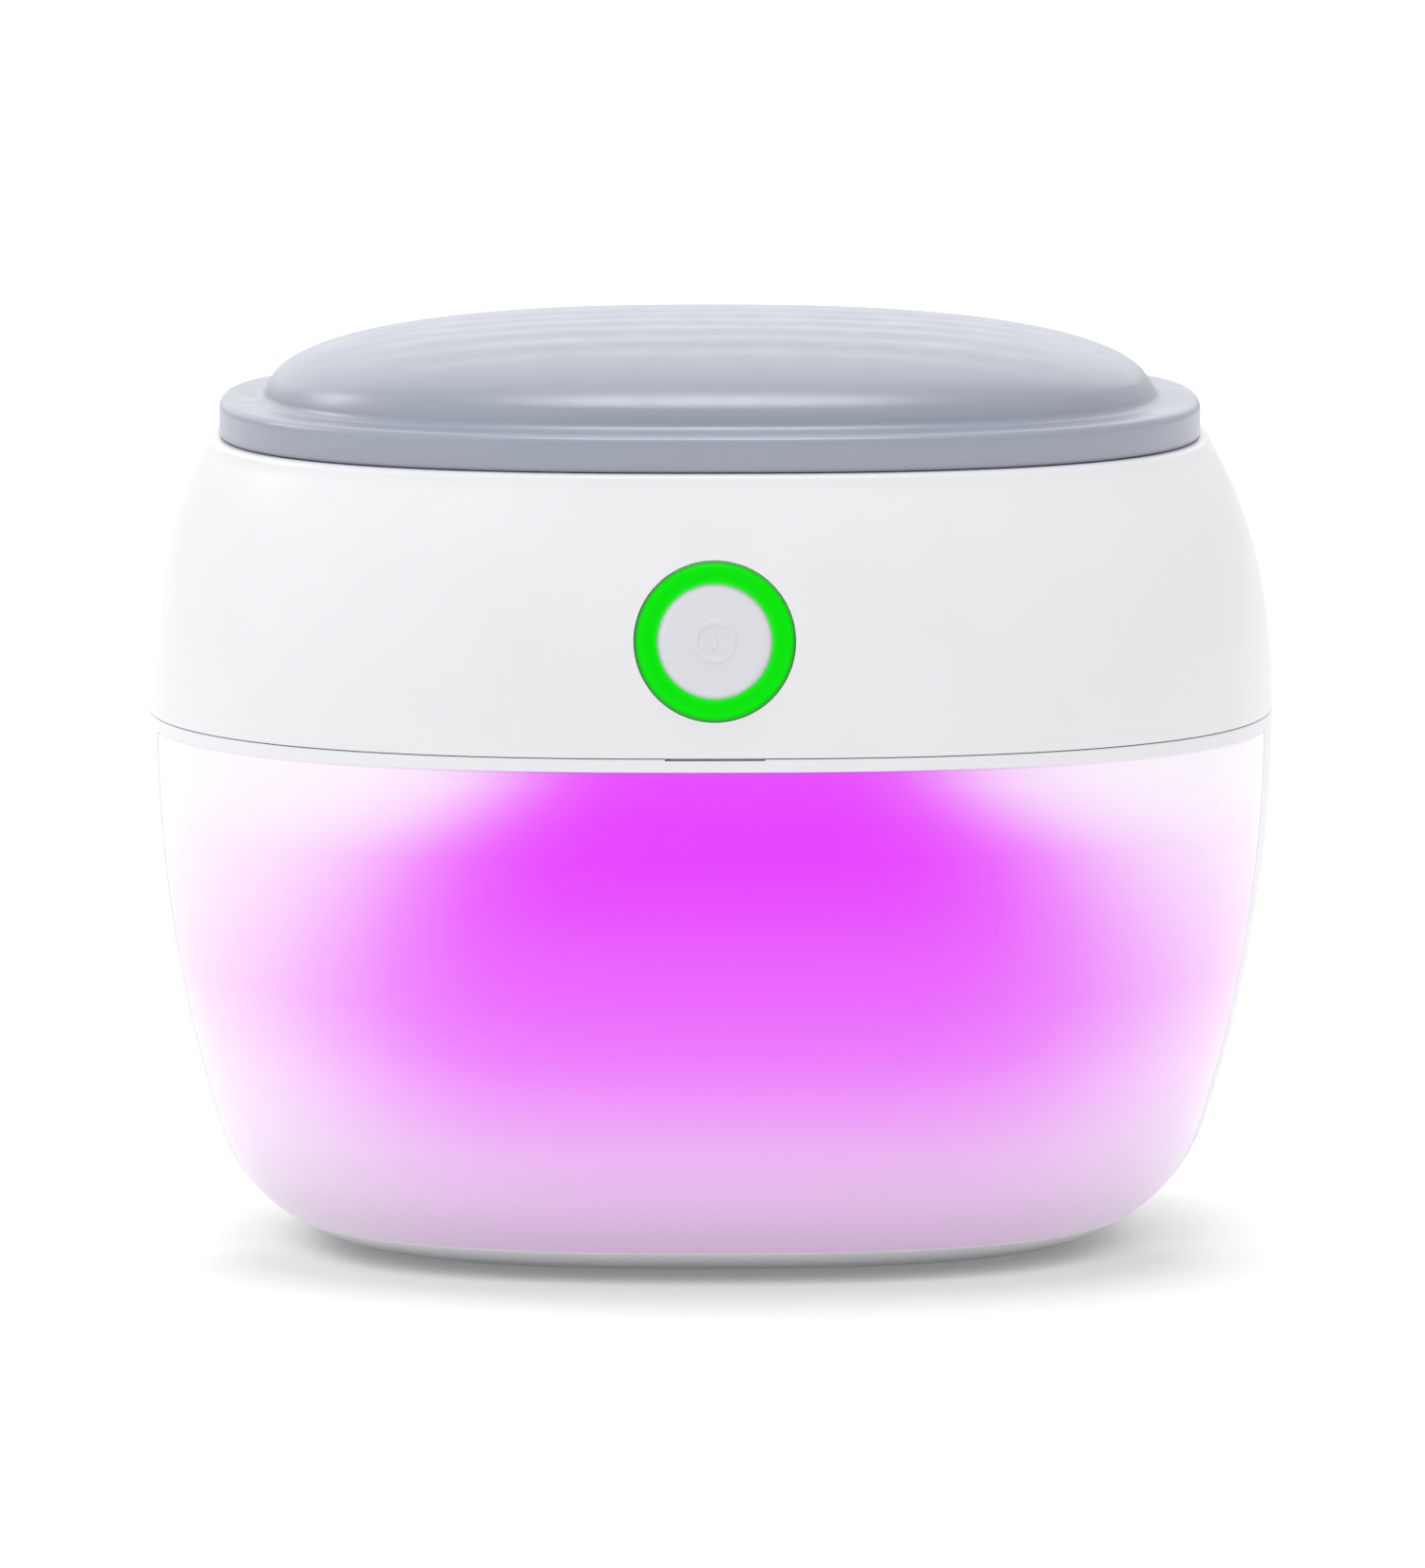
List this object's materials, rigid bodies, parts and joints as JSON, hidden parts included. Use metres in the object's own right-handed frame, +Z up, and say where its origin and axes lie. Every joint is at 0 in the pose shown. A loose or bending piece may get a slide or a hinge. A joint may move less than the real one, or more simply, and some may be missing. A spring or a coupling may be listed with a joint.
{
  "type": "ultrasonic aligner cleaner",
  "caption": "Pillow-shaped countertop cleaner with a lift-off domed lid, a clear basin, a lit wrap-round front window and a ringed push button.",
  "frame": {"origin": "centre of the footprint, on the surface that the feet stand on", "axes": "+Z up, the front with the button and window faces -Y, +X to the right of the picture"},
  "size_m": [0.13, 0.1098, 0.1072],
  "materials": {
    "shell_white": "glossy moulded ABS",
    "lid_grey": "satin moulded plastic with a fine grain",
    "liner_white": "moulded plastic",
    "window_violet": "frosted translucent plastic, lit from behind",
    "basin_clear": "clear moulded plastic",
    "ring_green": "translucent plastic, lit from behind",
    "button_grey": "satin plastic",
    "silicone": "soft silicone",
    "rubber": "matt",
    "steel": "brushed stainless",
    "zinc_screw": "zinc plated",
    "piezo_ceramic": "unglazed, silvered faces",
    "board_green": "circuit board with solder resist",
    "black_plastic": "moulded plastic",
    "ferrite": "ferrite with tape",
    "copper": "enamelled copper winding",
    "aluminium": "bare",
    "led_lens": "clear lens",
    "magnet": "nickel plated",
    "wire_red": "silicone sleeve",
    "wire_black": "silicone sleeve",
    "connector_white": "nylon"
  },
  "bodies": {
    "base": {"base_cover": "shell_white", "base_screw_1": "zinc_screw", "base_screw_2": "zinc_screw", "base_screw_3": "zinc_screw", "base_screw_4": "zinc_screw", "board_screw_1": "zinc_screw", "board_screw_2": "zinc_screw", "capacitor": "wire_black", "clamp_ring": "aluminium", "control_board": "board_green", "control_cable": "connector_white", "control_connector": "connector_white", "driver_board": "board_green", "foot_1": "rubber", "foot_2": "rubber", "foot_3": "rubber", "foot_4": "rubber", "heat_sink": "aluminium", "inductor": "copper", "inlet_cable": "wire_black", "inlet_connector": "connector_white", "lid_sensor": "black_plastic", "light_ring": "ring_green", "lower_housing": "shell_white", "piezo_disc": "piezo_ceramic", "power_inlet": "black_plastic", "power_transistor": "black_plastic", "radiating_plate": "steel", "ring_led_1": "led_lens", "ring_led_2": "led_lens", "ring_led_3": "led_lens", "ring_led_4": "led_lens", "tact_switch": "black_plastic", "tank": "basin_clear", "tank_gasket": "silicone", "tank_screw_1": "zinc_screw", "tank_screw_2": "zinc_screw", "tank_screw_3": "zinc_screw", "tank_screw_4": "zinc_screw", "transducer_connector": "connector_white", "transducer_screw_1": "zinc_screw", "transducer_screw_2": "zinc_screw", "transducer_screw_3": "zinc_screw", "transducer_seal": "silicone", "transducer_wire_black": "wire_black", "transducer_wire_red": "wire_red", "transformer": "ferrite", "upper_housing": "shell_white", "uv_board": "board_green", "uv_holder": "connector_white", "uv_led_1": "led_lens", "uv_led_2": "led_lens", "uv_led_3": "led_lens", "window_panel": "window_violet"},
    "lid": {"lid_shell": "lid_grey", "lid_liner": "liner_white", "lid_gasket": "silicone", "lid_magnet": "magnet"},
    "button": {"button_cap": "button_grey", "switch_plunger": "black_plastic"}
  },
  "joints": [
    {"name": "lid_lift", "type": "slide", "parent": "base", "child": "lid", "axis": [0, 0, 1], "range_m": [0, 0.06]},
    {"name": "button_press", "type": "slide", "parent": "base", "child": "button", "axis": [0, 0.985, -0.1725], "range_m": [0, 0.001], "stiffness_N_per_m": 1200, "springref_m": -0.0005}
  ]
}
